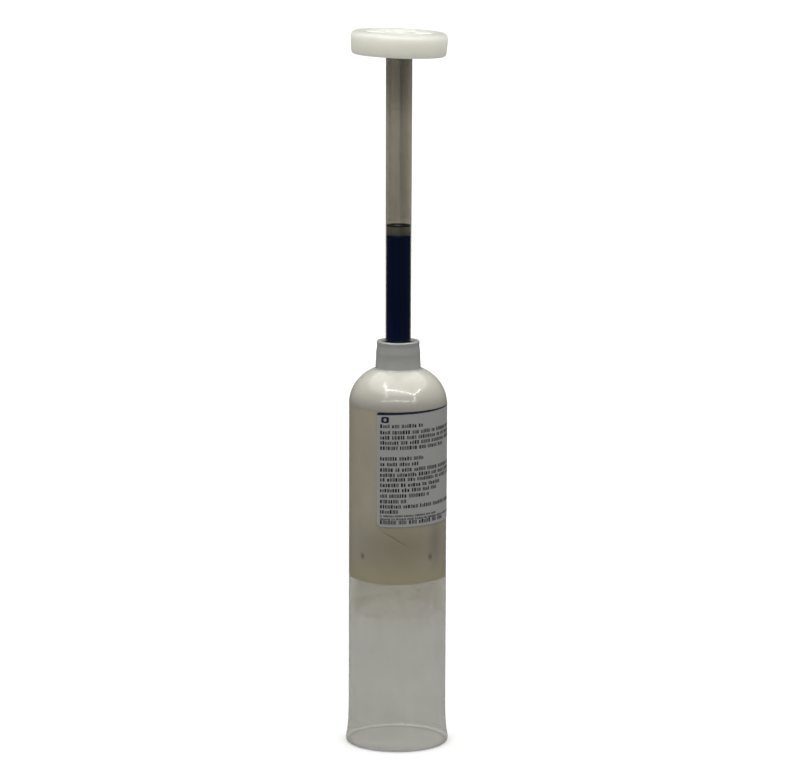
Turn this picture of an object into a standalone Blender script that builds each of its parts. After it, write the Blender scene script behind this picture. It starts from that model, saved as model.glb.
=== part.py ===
"""Two-part sealant injection cartridge with its hollow dasher rod.

The cartridge stands on the flared rim round its open rear end. Its origin is the middle of that
rim, +Z runs up the common axis of every turned piece, and -Y is the front. Heights and radii below
are in millimetres. Each piece is drawn on its own datum and hangs from the empty of the body that
it moves with.
"""

import math

import bmesh
import bpy
from mathutils import Matrix

MM = 0.001
GAP = 0.3  # left between two pieces that touch or slide

# Barrel: a thin shell, open at the rear, with a domed shoulder and an internally threaded neck.
BARREL_R = 22.25
WALL = 1.6
BORE_R = BARREL_R - WALL
BORE_MOUTH_R = BORE_R + 0.6
BORE_MOUTH_H = 2.2
SHOULDER_Z = 157.4
SHOULDER_H = 17.6
SHOULDER_CENTRE_R = 2.2
SHOULDER_FOOT_R = 10.9
NECK_TOP_Z = 186.0
# The neck's outside from its lip down, as (radius, depth below the top).
NECK_OUTLINE = [
    (9.35, 0.0),
    (9.68, 0.3),
    (9.57, 2.0),
    (9.62, 3.4),
    (9.98, 5.4),
    (10.0, 7.4),
    (10.2, 11.0),
    (10.45, 12.1),
]
RIM_R = 23.45
RIM_H = 2.8
RIM_ROUND = 1.2
FLARE_RISE = 1.0
FLARE_REACH = 4.6
FLARE_END_Z = 20.0

# Neck bore: the nozzle's tapered pipe thread, and a groove below it for the rod wiper.
NECK_THREAD_R = 6.86
NECK_CREST_R = 6.2
NECK_PITCH = 1.41
NECK_TURNS = 5
NECK_THREAD_Z = 176.4
WIPER_GROOVE_R = 7.7
WIPER_GROOVE_Z = 174.35
WIPER_GROOVE_H = 1.9
NECK_THROAT_R = 6.4

# Dasher rod: a moulded tube, a little thicker towards its head.
ROD_TIP_Z = 94.1
ROD_TOP_Z = 324.9
ROD_TIP_R = 5.65
ROD_HEAD_R = 5.95
ROD_BORE_R = 4.7
ROD_OUTLET_R = 3.6
ROD_SPIGOT_R = 5.0
ROD_SPIGOT_H = 7.4
ROD_FLANGE_R = 6.7
ROD_FLANGE_H = 1.5
CHARGE_TOP_Z = 233.7

# Rod and dasher thread.
SCREW_PITCH = 1.6
SCREW_TURNS = 3
MALE_CREST_R = 5.5
FEMALE_ROOT_R = 5.85
FEMALE_CREST_R = 5.25

# Dasher: four lobes on a threaded hub.
DASHER_Z = 90.0
DASHER_R = 20.2
DASHER_PLATE_H = 3.0
DASHER_HUB_R = 8.0
DASHER_HUB_H = 11.6
DASHER_FLOOR_H = 2.5
DASHER_OUTLET_R = 3.4
SCALLOP_R = 8.6
SCALLOP_CENTRE_R = 19.5
SHEAR_HOLE_R = 1.5
SHEAR_HOLE_CENTRE_R = 14.2
SHEAR_HOLE_SPREAD = 13.0  # degrees either side of a lobe's middle

# Valve disc in the dasher's socket, under the rod's tip.
VALVE_R = 5.1
VALVE_H = 0.9
VALVE_SLIT_W = 0.4
VALVE_SLIT_L = 6.0

# Rod handle: a cored disc with a dished, ribbed top, which sits a little askew on the rod.
HANDLE_Z = 315.0
HANDLE_H = 10.6
HANDLE_R = 21.95
HANDLE_FOOT_R = 21.2
HANDLE_TOP_ROUND = 4.2
HANDLE_FOOT_ROUND = 1.6
DISH_R = 15.8
DISH_DEPTH = 2.0
BOSS_R = 7.9
BOSS_DROP = 0.4
CORE_OUT_R = 18.2
CORE_IN_R = 8.8
CORE_DEPTH = 7.0
HANDLE_TILT = math.radians(2.1)
HANDLE_SLACK = 0.25  # the room round the rod that lets it lean
WEB_COUNT = 6
WEB_W = 1.6
RIB_COUNT = 8
RIB_W = 1.2

# Rod piston and its black seal ring.
PISTON_Z = 234.0
PISTON_H = 5.4
PISTON_R = 4.45
PISTON_WAIST_R = 4.0
SEAL_H = 0.9
SEAL_R = 4.5
SEAL_Z = 3.9
SEAL_GROOVE_R = 3.55
SEAL_SLACK = 0.2

# Plunger: a domed cup with two wiping lips.
PLUNGER_Z = 61.0
PLUNGER_SKIRT_H = 16.6
PLUNGER_DOME_H = 9.6
PLUNGER_CROWN_R = 6.5
PLUNGER_DOME_R = 19.9
PLUNGER_LIP_R = 20.35
PLUNGER_WAIST_R = 19.7
PLUNGER_WALL = 1.8

# Label: a paper sheet wrapped round the barrel from just left of the front.
LABEL_Z = 104.5
LABEL_H = 52.6
LABEL_CORNER_R = 2.7
LABEL_START = -114.9  # degrees
LABEL_SWEEP = 196.0
LABEL_LIFT = 0.25
LABEL_T = 0.2

SIDES = 36
SMALL_SIDES = 28
SEAM_TURN = math.radians(2.2)  # keeps a turned wall's edges clear of its tools' edges
SMOOTH_ANGLE = math.radians(35)


def shoulder_angle(radius, reach):
    """Where an arc of that reach about the shoulder's centre stands at a radius, in degrees."""
    return math.degrees(math.acos((radius - SHOULDER_CENTRE_R) / reach))


def clear_scene():
    for obj in list(bpy.data.objects):
        bpy.data.objects.remove(obj)


def new_collection(name):
    made = bpy.data.collections.new(name)
    bpy.context.scene.collection.children.link(made)
    return made


def new_material(name, colour, roughness, alpha=1.0, metallic=0.0):
    made = bpy.data.materials.new(name)
    made.use_nodes = True
    shader = made.node_tree.nodes["Principled BSDF"]
    shader.inputs["Base Color"].default_value = (*colour, 1.0)
    shader.inputs["Roughness"].default_value = roughness
    shader.inputs["Metallic"].default_value = metallic
    shader.inputs["Alpha"].default_value = alpha
    made.diffuse_color = (*colour, alpha)
    return made


def new_empty(name, z, parent=None):
    """The body that pieces hang from, on its joint's axis."""
    made = bpy.data.objects.new(name, None)
    PARTS.objects.link(made)
    made.location.z = (z - (BODY_Z[parent.name] if parent else 0)) * MM
    made.parent = parent
    BODY_Z[name] = z
    return made


def place(obj, body, z):
    """Hangs a piece drawn on its own datum from a body, with the datum at height z."""
    obj.parent = body
    obj.location.z = (z - BODY_Z[body.name]) * MM


def link_cutter(obj):
    CUTTERS.objects.link(obj)
    obj.hide_render = True
    obj.display_type = "WIRE"
    return obj


def arc(centre, radii, start, end, steps):
    """Points of an elliptical arc, as (radius, height). Angles are degrees from +radius towards +height."""
    points = []
    for i in range(steps + 1):
        angle = math.radians(start + (end - start) * i / steps)
        points.append((centre[0] + radii[0] * math.cos(angle), centre[1] + radii[1] * math.sin(angle)))
    return points


def turned(name, profile, sides=SIDES, loop=False):
    """A turned solid. The profile runs down the outside and back up the inside or the axis."""
    mesh = bpy.data.meshes.new(name)
    points = [(r * math.cos(SEAM_TURN) * MM, r * math.sin(SEAM_TURN) * MM, z * MM) for r, z in profile]
    edges = [(i, i + 1) for i in range(len(points) - 1)]
    if loop:
        edges.append((len(points) - 1, 0))
    mesh.from_pydata(points, edges, [])
    obj = bpy.data.objects.new(name, mesh)
    screw = obj.modifiers.new("turn", "SCREW")
    screw.steps = screw.render_steps = sides
    screw.use_merge_vertices = True
    screw.merge_threshold = 0.00001
    return obj


def helix_ridge(name, root_r, crest_r, root_w, crest_w, pitch, turns, steps=20):
    """A thread's ridge round the axis from height 0, as a tool to join to a turned wall."""
    bm = bmesh.new()
    section = [(root_r, -root_w / 2), (crest_r, -crest_w / 2), (crest_r, crest_w / 2), (root_r, root_w / 2)]
    face = bm.faces.new([bm.verts.new((r * MM, 0, z * MM)) for r, z in section])
    count = int(turns * steps)
    bmesh.ops.spin(
        bm,
        geom=[face, *face.edges, *face.verts],
        cent=(0, 0, 0),
        axis=(0, 0, 1),
        dvec=(0, 0, pitch * MM / steps),
        angle=2 * math.pi * turns,
        steps=count,
    )
    bmesh.ops.recalc_face_normals(bm, faces=bm.faces)
    mesh = bpy.data.meshes.new(name)
    bm.to_mesh(mesh)
    bm.free()
    return link_cutter(bpy.data.objects.new(name, mesh))


def cutter_from(name, shapes):
    """One tool made of several primitives, each added by a function that takes the bmesh."""
    bm = bmesh.new()
    for add in shapes:
        add(bm)
    mesh = bpy.data.meshes.new(name)
    bm.to_mesh(mesh)
    bm.free()
    return link_cutter(bpy.data.objects.new(name, mesh))


def cylinder_at(radius, low, high, distance, degrees, sides):
    """Adds an upright cylinder whose axis stands at that distance and direction from the part's axis."""
    turn = math.radians(degrees)
    at = (distance * math.cos(turn) * MM, distance * math.sin(turn) * MM, (low + high) / 2 * MM)

    def add(bm):
        bmesh.ops.create_cone(
            bm,
            cap_ends=True,
            segments=sides,
            radius1=radius * MM,
            radius2=radius * MM,
            depth=(high - low) * MM,
            matrix=Matrix.Translation(at),
        )

    return add


def bar_at(inner, outer, width, low, high, degrees):
    """Adds a radial bar from one radius to another."""
    size = Matrix.Diagonal(((outer - inner) * MM, width * MM, (high - low) * MM, 1))
    middle = Matrix.Translation(((inner + outer) / 2 * MM, 0, (low + high) / 2 * MM))
    turn = Matrix.Rotation(math.radians(degrees), 4, "Z")

    def add(bm):
        bmesh.ops.create_cube(bm, size=1, matrix=turn @ middle @ size)

    return add


def combine(target, tool, operation):
    """Joins or cuts with a tool drawn on the same datum as its target."""
    tool.parent = target
    modifier = target.modifiers.new(tool.name, "BOOLEAN")
    modifier.operation = operation
    modifier.solver = "EXACT"
    modifier.object = tool


def finish(obj, material):
    """Links the piece, applies its modifiers, and gives it its material and smooth round faces."""
    PARTS.objects.link(obj)
    bpy.context.view_layer.update()
    evaluated = obj.evaluated_get(bpy.context.evaluated_depsgraph_get())
    obj.data = bpy.data.meshes.new_from_object(evaluated)
    obj.modifiers.clear()
    obj.data.materials.clear()
    obj.data.materials.append(material)
    obj.data.shade_smooth()
    obj.data.set_sharp_from_angle(angle=SMOOTH_ANGLE)
    return obj


def make_barrel(material):
    flare = []
    flare_low = RIM_H + 0.1
    for share in (1.0, 0.5, 0.26, 0.11, 0.0):
        z = flare_low + (FLARE_END_Z - flare_low) * share
        rise = FLARE_RISE * math.exp(-(z - flare_low) / FLARE_REACH) if share < 1 else 0
        flare.append((BARREL_R + rise, z))
    centre = (SHOULDER_CENTRE_R, SHOULDER_Z)
    reach = BARREL_R - SHOULDER_CENTRE_R
    shoulder = arc(centre, (reach, SHOULDER_H), shoulder_angle(SHOULDER_FOOT_R, reach), 0, 7)
    reach = BORE_R - SHOULDER_CENTRE_R
    inner_dome = arc(centre, (reach, SHOULDER_H - WALL), 0, shoulder_angle(NECK_THROAT_R, reach), 5)
    neck_outside = [(r, NECK_TOP_Z - depth) for r, depth in NECK_OUTLINE]
    rim = [
        (RIM_R - 0.1, RIM_H),
        (RIM_R, RIM_H - 0.4),
        *arc((RIM_R - RIM_ROUND, RIM_ROUND), (RIM_ROUND, RIM_ROUND), 0, -90, 3),
    ]
    inside = [
        (BORE_MOUTH_R, 0.0),
        (BORE_R, BORE_MOUTH_H),
        *inner_dome,
        (NECK_THROAT_R, WIPER_GROOVE_Z - WIPER_GROOVE_H / 2),
        (WIPER_GROOVE_R, WIPER_GROOVE_Z - WIPER_GROOVE_H / 2),
        (WIPER_GROOVE_R, WIPER_GROOVE_Z + WIPER_GROOVE_H / 2),
        (NECK_THREAD_R, WIPER_GROOVE_Z + WIPER_GROOVE_H / 2),
        (NECK_THREAD_R, NECK_TOP_Z - 0.7),
        (NECK_THREAD_R + 0.7, NECK_TOP_Z),
    ]
    barrel = turned("cartridge_barrel", neck_outside + shoulder + flare + rim + inside, loop=True)
    thread = helix_ridge(
        "neck_thread_tool", NECK_THREAD_R + 0.25, NECK_CREST_R, 1.1, 0.3, NECK_PITCH, NECK_TURNS
    )
    thread.location.z = NECK_THREAD_Z * MM
    combine(barrel, thread, "UNION")
    return finish(barrel, material)


def make_wiper(material):
    section_r = 0.62
    middle_r = WIPER_GROOVE_R - GAP - section_r
    ring = arc((middle_r, 0.0), (section_r, section_r), 0, -360, 10)[:-1]
    return finish(turned("neck_wiper", ring, SMALL_SIDES, loop=True), material)


def make_rod(material):
    length = ROD_TOP_Z - ROD_TIP_Z
    profile = [
        (ROD_BORE_R + 0.5, length),
        (ROD_FLANGE_R - 0.2, length),
        (ROD_FLANGE_R, length - 0.2),
        (ROD_FLANGE_R, length - ROD_FLANGE_H),
        (ROD_HEAD_R, length - ROD_FLANGE_H - 0.2),
        (ROD_TIP_R, ROD_SPIGOT_H + 0.5),
        (ROD_SPIGOT_R, ROD_SPIGOT_H),
        (ROD_SPIGOT_R, 0.5),
        (ROD_SPIGOT_R - 0.4, 0.0),
        (ROD_OUTLET_R, 0.0),
        (ROD_OUTLET_R, ROD_SPIGOT_H - 1.0),
        (ROD_BORE_R, ROD_SPIGOT_H + 0.2),
        (ROD_BORE_R, length - 0.8),
    ]
    rod = turned("dasher_rod", profile, SMALL_SIDES, loop=True)
    thread = helix_ridge(
        "rod_thread_tool", ROD_SPIGOT_R - 0.2, MALE_CREST_R, 1.15, 0.3, SCREW_PITCH, SCREW_TURNS
    )
    thread.location.z = 1.2 * MM
    combine(rod, thread, "UNION")
    return finish(rod, material)


def make_dasher(material):
    socket = [
        (FEMALE_ROOT_R, DASHER_HUB_H),
        (DASHER_HUB_R - 0.4, DASHER_HUB_H),
        (DASHER_HUB_R, DASHER_HUB_H - 0.4),
        (DASHER_HUB_R, DASHER_PLATE_H),
        (DASHER_R - 0.4, DASHER_PLATE_H),
        (DASHER_R, DASHER_PLATE_H - 0.4),
        (DASHER_R, 0.4),
        (DASHER_R - 0.4, 0.0),
        (DASHER_OUTLET_R, 0.0),
        (DASHER_OUTLET_R, DASHER_FLOOR_H),
        (FEMALE_ROOT_R, DASHER_FLOOR_H),
    ]
    dasher = turned("dasher", socket, loop=True)
    thread = helix_ridge(
        "dasher_thread_tool",
        FEMALE_ROOT_R + 0.2,
        FEMALE_CREST_R,
        1.15,
        0.3,
        SCREW_PITCH,
        SCREW_TURNS,
    )
    thread.location.z = (ROD_TIP_Z + 1.2 + SCREW_PITCH / 2 - DASHER_Z) * MM
    combine(dasher, thread, "UNION")
    cuts = []
    low, high = -1.0, DASHER_PLATE_H + 1.0
    for lobe in range(4):
        cuts.append(cylinder_at(SCALLOP_R, low, high, SCALLOP_CENTRE_R, 90 * lobe, 24))
        for side in (-1, 1):
            middle = 45 + 90 * lobe
            turn = middle + side * SHEAR_HOLE_SPREAD
            cuts.append(cylinder_at(SHEAR_HOLE_R, low, high, SHEAR_HOLE_CENTRE_R, turn, 10))
    combine(dasher, cutter_from("dasher_cut_tool", cuts), "DIFFERENCE")
    return finish(dasher, material)


def make_valve(material):
    profile = [(0.0, VALVE_H), (VALVE_R, VALVE_H), (VALVE_R, 0.0), (0.0, 0.0)]
    valve = turned("dasher_valve", profile, 24)
    slits = [
        bar_at(-VALVE_SLIT_L / 2, VALVE_SLIT_L / 2, VALVE_SLIT_W, -1.0, 2.0, turn) for turn in (45, 135)
    ]
    for number, slit in enumerate(slits):
        combine(valve, cutter_from(f"valve_slit_tool_{number}", [slit]), "DIFFERENCE")
    return finish(valve, material)


def make_handle(material):
    rim_top = HANDLE_H
    floor_z = HANDLE_H - DISH_DEPTH
    bore_r = ROD_HEAD_R + GAP + HANDLE_SLACK
    shelf_z = ROD_TOP_Z - ROD_FLANGE_H - HANDLE_Z - GAP - HANDLE_SLACK
    flange_r = ROD_FLANGE_R + GAP + HANDLE_SLACK
    profile = [
        (flange_r, HANDLE_H - BOSS_DROP),
        (BOSS_R, HANDLE_H - BOSS_DROP),
        (BOSS_R, floor_z),
        (DISH_R - 0.6, floor_z),
        (DISH_R, rim_top - 0.3),
        (DISH_R + 0.3, rim_top),
        *arc(
            (HANDLE_R - HANDLE_TOP_ROUND, rim_top - HANDLE_TOP_ROUND),
            (HANDLE_TOP_ROUND, HANDLE_TOP_ROUND),
            90,
            0,
            6,
        ),
        *arc(
            (HANDLE_FOOT_R - HANDLE_FOOT_ROUND, HANDLE_FOOT_ROUND),
            (HANDLE_FOOT_ROUND, HANDLE_FOOT_ROUND),
            0,
            -90,
            3,
        ),
        (CORE_OUT_R, 0.0),
        (CORE_OUT_R - 0.4, CORE_DEPTH),
        (CORE_IN_R + 0.4, CORE_DEPTH),
        (CORE_IN_R, 0.0),
        (bore_r, 0.0),
        (bore_r, shelf_z),
        (flange_r, shelf_z),
    ]
    handle = turned("rod_handle", profile, loop=True)
    ribs = [
        bar_at(BOSS_R - 0.4, DISH_R + 0.2, RIB_W, floor_z - 0.4, HANDLE_H - BOSS_DROP - 0.3, turn)
        for turn in (22.5 + 360 / RIB_COUNT * i for i in range(RIB_COUNT))
    ]
    webs = [
        bar_at(CORE_IN_R - 0.6, CORE_OUT_R + 0.6, WEB_W, 0.8, CORE_DEPTH + 0.5, 360 / WEB_COUNT * i)
        for i in range(WEB_COUNT)
    ]
    combine(handle, cutter_from("handle_rib_tool", ribs + webs), "UNION")
    return finish(handle, material)


def lean(handle):
    """Leans the handle towards +X about the middle of its height."""
    handle.rotation_euler.y = HANDLE_TILT
    handle.location.x = -HANDLE_H / 2 * math.sin(HANDLE_TILT) * MM


def make_piston(material):
    groove_low, groove_high = SEAL_Z - SEAL_SLACK, SEAL_Z + SEAL_H + SEAL_SLACK
    profile = [
        (0.0, PISTON_H - 2.4),
        (2.6, PISTON_H - 2.4),
        (3.2, PISTON_H),
        (PISTON_R - 0.2, PISTON_H),
        (PISTON_R - 0.2, groove_high),
        (SEAL_GROOVE_R, groove_high),
        (SEAL_GROOVE_R, groove_low),
        (PISTON_R, groove_low),
        (PISTON_R, groove_low - 0.9),
        (PISTON_WAIST_R, groove_low - 1.3),
        (PISTON_WAIST_R, 1.3),
        (PISTON_R, 0.9),
        (PISTON_R, 0.2),
        (PISTON_R - 0.2, 0.0),
        (0.0, 0.0),
    ]
    return finish(turned("rod_piston", profile, SMALL_SIDES), material)


def make_piston_seal(material):
    inner_r = SEAL_GROOVE_R + SEAL_SLACK
    middle_r = (inner_r + SEAL_R) / 2
    ring = arc((middle_r, SEAL_H / 2), ((SEAL_R - inner_r) / 2, SEAL_H / 2), 0, -360, 8)[:-1]
    return finish(turned("piston_seal_ring", ring, SMALL_SIDES, loop=True), material)


def make_accelerator(material):
    """The accelerator paste: it fills the rod's bore from the outlet to the piston."""
    low = 0.4
    neck_r = ROD_OUTLET_R - GAP
    body_r = ROD_BORE_R - GAP
    top = CHARGE_TOP_Z - ROD_TIP_Z
    profile = [
        (0.0, top),
        (body_r, top),
        (body_r, ROD_SPIGOT_H + 0.6),
        (neck_r, ROD_SPIGOT_H - 0.7),
        (neck_r, low),
        (0.0, low),
    ]
    return finish(turned("accelerator_charge", profile, SMALL_SIDES), material)


def plunger_dome(grow, steps):
    """The dome's outline from its rim to the edge of its flat crown, grown outwards."""
    centre = (PLUNGER_CROWN_R, PLUNGER_SKIRT_H)
    radii = (PLUNGER_DOME_R - PLUNGER_CROWN_R + grow, PLUNGER_DOME_H + grow)
    return arc(centre, radii, 0, 90, steps)


def make_plunger(material):
    crown_z = PLUNGER_SKIRT_H + PLUNGER_DOME_H
    inside_r = PLUNGER_WAIST_R - PLUNGER_WALL
    inner_dome = arc(
        (PLUNGER_CROWN_R, PLUNGER_SKIRT_H),
        (inside_r - PLUNGER_CROWN_R, PLUNGER_DOME_H - PLUNGER_WALL),
        0,
        90,
        5,
    )
    profile = [
        (0.0, crown_z),
        *reversed(plunger_dome(0, 7)),
        (PLUNGER_LIP_R, PLUNGER_SKIRT_H - 0.4),
        (PLUNGER_LIP_R, PLUNGER_SKIRT_H - 2.0),
        (PLUNGER_WAIST_R, PLUNGER_SKIRT_H - 2.8),
        (PLUNGER_WAIST_R, 3.6),
        (PLUNGER_LIP_R, 2.8),
        (PLUNGER_LIP_R, 1.4),
        (PLUNGER_WAIST_R + 0.2, 0.0),
        (inside_r, 0.0),
        *inner_dome,
        (0.0, crown_z - PLUNGER_WALL),
    ]
    return finish(turned("plunger", profile), material)


def make_compound(material):
    """The base compound: it fills the barrel from the plunger's dome to the shoulder, round rod and dasher."""
    outside_r = BORE_R - GAP
    rod_hole_r = ROD_HEAD_R + GAP
    reach = outside_r - SHOULDER_CENTRE_R
    edge_z = PLUNGER_Z + PLUNGER_SKIRT_H - 0.4 + GAP
    dome = [(r, z + PLUNGER_Z) for r, z in plunger_dome(GAP, 6)]
    outer_dome = arc(
        (SHOULDER_CENTRE_R, SHOULDER_Z),
        (reach, SHOULDER_H - WALL - GAP),
        shoulder_angle(rod_hole_r, reach),
        0,
        6,
    )
    hub_top = DASHER_Z + DASHER_HUB_H + GAP
    profile = [
        *outer_dome,
        (outside_r, edge_z),
        *dome,
        (DASHER_OUTLET_R, PLUNGER_Z + PLUNGER_SKIRT_H + PLUNGER_DOME_H + GAP),
        (DASHER_OUTLET_R, DASHER_Z),
        (DASHER_HUB_R + GAP, DASHER_Z),
        (DASHER_HUB_R + GAP, hub_top),
        (rod_hole_r, hub_top),
    ]
    compound = turned("base_compound", profile, loop=True)
    low, high = DASHER_Z - GAP, DASHER_Z + DASHER_PLATE_H + GAP
    pocket = cutter_from(
        "dasher_pocket_tool", [cylinder_at(BARREL_R, low, high, 0, 0, SIDES)]
    )
    webs = [
        cylinder_at(SCALLOP_R - GAP, low - 1, high + 1, SCALLOP_CENTRE_R, 90 * i, 20) for i in range(4)
    ]
    combine(pocket, cutter_from("pocket_web_tool", webs), "DIFFERENCE")
    combine(compound, pocket, "DIFFERENCE")
    return finish(compound, material)


def make_label(material):
    """A sheet bent round the barrel, its columns shortened where the corners are round."""
    columns = 40
    radius = BARREL_R + LABEL_LIFT
    width = math.radians(LABEL_SWEEP) * radius
    bm = bmesh.new()
    bmesh.ops.create_grid(bm, x_segments=columns, y_segments=1, size=1)
    for vert in bm.verts:
        share = (vert.co.x + 1) / 2
        eased = (1 - math.cos(math.pi * share)) / 2
        along = width * eased
        inset = max(0.0, LABEL_CORNER_R - min(along, width - along))
        cut = LABEL_CORNER_R - math.sqrt(max(0.0, LABEL_CORNER_R**2 - inset**2))
        turn = math.radians(LABEL_START) + along / radius
        half = LABEL_H / 2 - cut
        z = LABEL_H / 2 + math.copysign(half, vert.co.y)
        vert.co = (radius * math.cos(turn) * MM, radius * math.sin(turn) * MM, z * MM)
    mesh = bpy.data.meshes.new("barrel_label")
    bm.to_mesh(mesh)
    bm.free()
    label = bpy.data.objects.new("barrel_label", mesh)
    sheet = label.modifiers.new("sheet", "SOLIDIFY")
    sheet.thickness = LABEL_T * MM
    sheet.offset = 1
    sheet.use_even_offset = True
    return finish(label, material)


clear_scene()
BODY_Z = {}
PARTS = new_collection("sealant_injection_cartridge")
CUTTERS = new_collection("cutters")
CUTTERS.hide_render = True

natural_plastic = new_material("natural_polyethylene", (0.60, 0.60, 0.56), 0.35, 0.6)
rod_plastic = new_material("rod_plastic", (0.42, 0.38, 0.30), 0.3, 0.6)
white_plastic = new_material("white_polyethylene", (0.80, 0.80, 0.72), 0.4)
plug_plastic = new_material("plug_plastic", (0.20, 0.20, 0.18), 0.5)
black_rubber = new_material("black_rubber", (0.02, 0.02, 0.02), 0.6)
grey_rubber = new_material("grey_rubber", (0.25, 0.25, 0.25), 0.6)
accelerator = new_material("accelerator_paste", (0.005, 0.012, 0.035), 0.3)
compound_paste = new_material("base_compound_paste", (0.66, 0.64, 0.52), 0.5)
label_paper = new_material("label_paper", (0.62, 0.62, 0.60), 0.5)

barrel_body = new_empty("barrel_axis", 0.0)
wiper_body = new_empty("wiper_axis", WIPER_GROOVE_Z, barrel_body)
dasher_body = new_empty("dasher_axis", DASHER_Z, wiper_body)
valve_body = new_empty("valve_axis", DASHER_Z + DASHER_FLOOR_H, dasher_body)
rod_body = new_empty("rod_axis", ROD_TIP_Z, valve_body)
piston_body = new_empty("piston_axis", PISTON_Z, rod_body)
plunger_body = new_empty("plunger_axis", PLUNGER_Z, barrel_body)

place(make_barrel(natural_plastic), barrel_body, 0.0)
place(make_compound(compound_paste), barrel_body, 0.0)
place(make_label(label_paper), barrel_body, LABEL_Z)
place(make_wiper(grey_rubber), wiper_body, WIPER_GROOVE_Z)
place(make_dasher(white_plastic), dasher_body, DASHER_Z)
place(make_valve(grey_rubber), valve_body, DASHER_Z + DASHER_FLOOR_H + GAP)
place(make_rod(rod_plastic), rod_body, ROD_TIP_Z)
rod_handle = make_handle(white_plastic)
place(rod_handle, rod_body, HANDLE_Z)
lean(rod_handle)
place(make_accelerator(accelerator), rod_body, ROD_TIP_Z)
place(make_piston(plug_plastic), piston_body, PISTON_Z)
place(make_piston_seal(black_rubber), piston_body, PISTON_Z + SEAL_Z)
place(make_plunger(white_plastic), plunger_body, PLUNGER_Z)
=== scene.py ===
import math
import random

import bmesh
import bpy
from mathutils import Matrix, Vector


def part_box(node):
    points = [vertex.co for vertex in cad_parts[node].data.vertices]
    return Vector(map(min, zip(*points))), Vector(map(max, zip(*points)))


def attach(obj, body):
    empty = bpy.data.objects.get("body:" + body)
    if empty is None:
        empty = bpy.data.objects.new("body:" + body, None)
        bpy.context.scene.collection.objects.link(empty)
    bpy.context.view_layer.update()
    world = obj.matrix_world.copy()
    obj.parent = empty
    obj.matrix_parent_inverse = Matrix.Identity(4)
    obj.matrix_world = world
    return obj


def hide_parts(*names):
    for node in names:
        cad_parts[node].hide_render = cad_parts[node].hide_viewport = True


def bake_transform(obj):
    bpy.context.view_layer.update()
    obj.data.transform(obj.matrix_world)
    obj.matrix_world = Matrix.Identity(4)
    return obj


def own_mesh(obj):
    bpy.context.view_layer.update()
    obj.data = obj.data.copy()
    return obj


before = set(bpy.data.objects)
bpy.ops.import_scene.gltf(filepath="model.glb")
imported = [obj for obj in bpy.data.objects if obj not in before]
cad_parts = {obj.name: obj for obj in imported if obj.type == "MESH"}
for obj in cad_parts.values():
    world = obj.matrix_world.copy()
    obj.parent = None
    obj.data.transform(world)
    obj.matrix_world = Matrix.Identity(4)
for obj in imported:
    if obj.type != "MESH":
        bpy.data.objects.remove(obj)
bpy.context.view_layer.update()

MM = 0.001

# Heights and radii of the CAD pieces, in millimetres.


def span(node):
    """A CAD node's outer radius, lowest height and highest height, in millimetres."""
    low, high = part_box(node)
    return high.x / MM, low.z / MM, high.z / MM


RIM_R, _, NECK_TOP = span("cartridge_barrel")
_, LABEL_LOW, LABEL_HIGH = span("barrel_label")
_, COMPOUND_LOW, _ = span("base_compound")
PLUNGER_R, PLUNGER_LOW, PLUNGER_HIGH = span("plunger")
_, DASHER_LOW, DASHER_HIGH = span("dasher")
_, VALVE_LOW, VALVE_HIGH = span("dasher_valve")
_, ROD_LOW, ROD_HIGH = span("dasher_rod")
_, CHARGE_LOW, CHARGE_HIGH = span("accelerator_charge")
_, PISTON_LOW, PISTON_HIGH = span("rod_piston")
_, SEAL_LOW, SEAL_HIGH = span("piston_seal_ring")
WIPER_R, WIPER_LOW, WIPER_HIGH = span("neck_wiper")

# Sizes that the boxes don't give, in millimetres.
BARREL_R = 22.25
BORE_R = 20.65
WALL = BARREL_R - BORE_R
SHOULDER_Z = 157.4
SHOULDER_H = 17.6
SHOULDER_CENTRE_R = 2.2
NECK_FOOT_R = 11.3
CLEAR_EDGE_H = 1.3
ROD_TIP_R = 5.65
ROD_HEAD_R = 5.95
ROD_BORE_R = 4.7
ROD_FLANGE_R = 6.7
ROD_OUTLET_R = 3.6
PASTE_GAP = 0.3  # between a drawn-out paste and the outer face of its wall
DASHER_R = 20.1
DASHER_HUB_R = 8.0
DASHER_PLATE_H = 3.0
DASHER_PITCH = 1.6
DASHER_TURNS = 3
THROAT_R = 6.4
HANDLE_FOOT_Z = 315.0
HANDLE_H = 10.6
HANDLE_R = 21.95
HANDLE_TILT = math.radians(2.1)
HANDLE_BORE_R = 6.5
HANDLE_FLANGE_R = 7.25
GAP = 0.3

# Tones and shades that are placed on the barrel: angles in radians round the axis from the front, and
# heights in millimetres.
FRONT_LOBE_TURNS = (-0.79, 0.73)
BACK_LOBE_TURNS = (2.3, -2.3)
LOBE_SPOT_Z = DASHER_LOW - 0.4
# Angle of the painted dark reflection, a darker streak down the barrel.
DARK_REFLECTION_TURN = 0.88
# Height of the painted shade band above the compound's lower edge.
SHADE_Z = COMPOUND_LOW + 19
FILM_Z = COMPOUND_LOW - 4
CREASE_Z = 99.4
CREASE_RISE = 13.5  # per radian
CREASE_TURN = -0.06
ROD_OPACITY = 0.58

SEGMENTS = 144
FEW_SEGMENTS = 72
SMOOTH_ANGLE = math.radians(40)


# --- Meshes -----------------------------------------------------------------------------------


def arc(centre, radii, start, end, steps):
    """Points of an elliptical arc as (radius, height). Angles are in degrees from +radius."""
    points = []
    for i in range(steps + 1):
        angle = math.radians(start + (end - start) * i / steps)
        points.append((centre[0] + radii[0] * math.cos(angle), centre[1] + radii[1] * math.sin(angle)))
    return points


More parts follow.
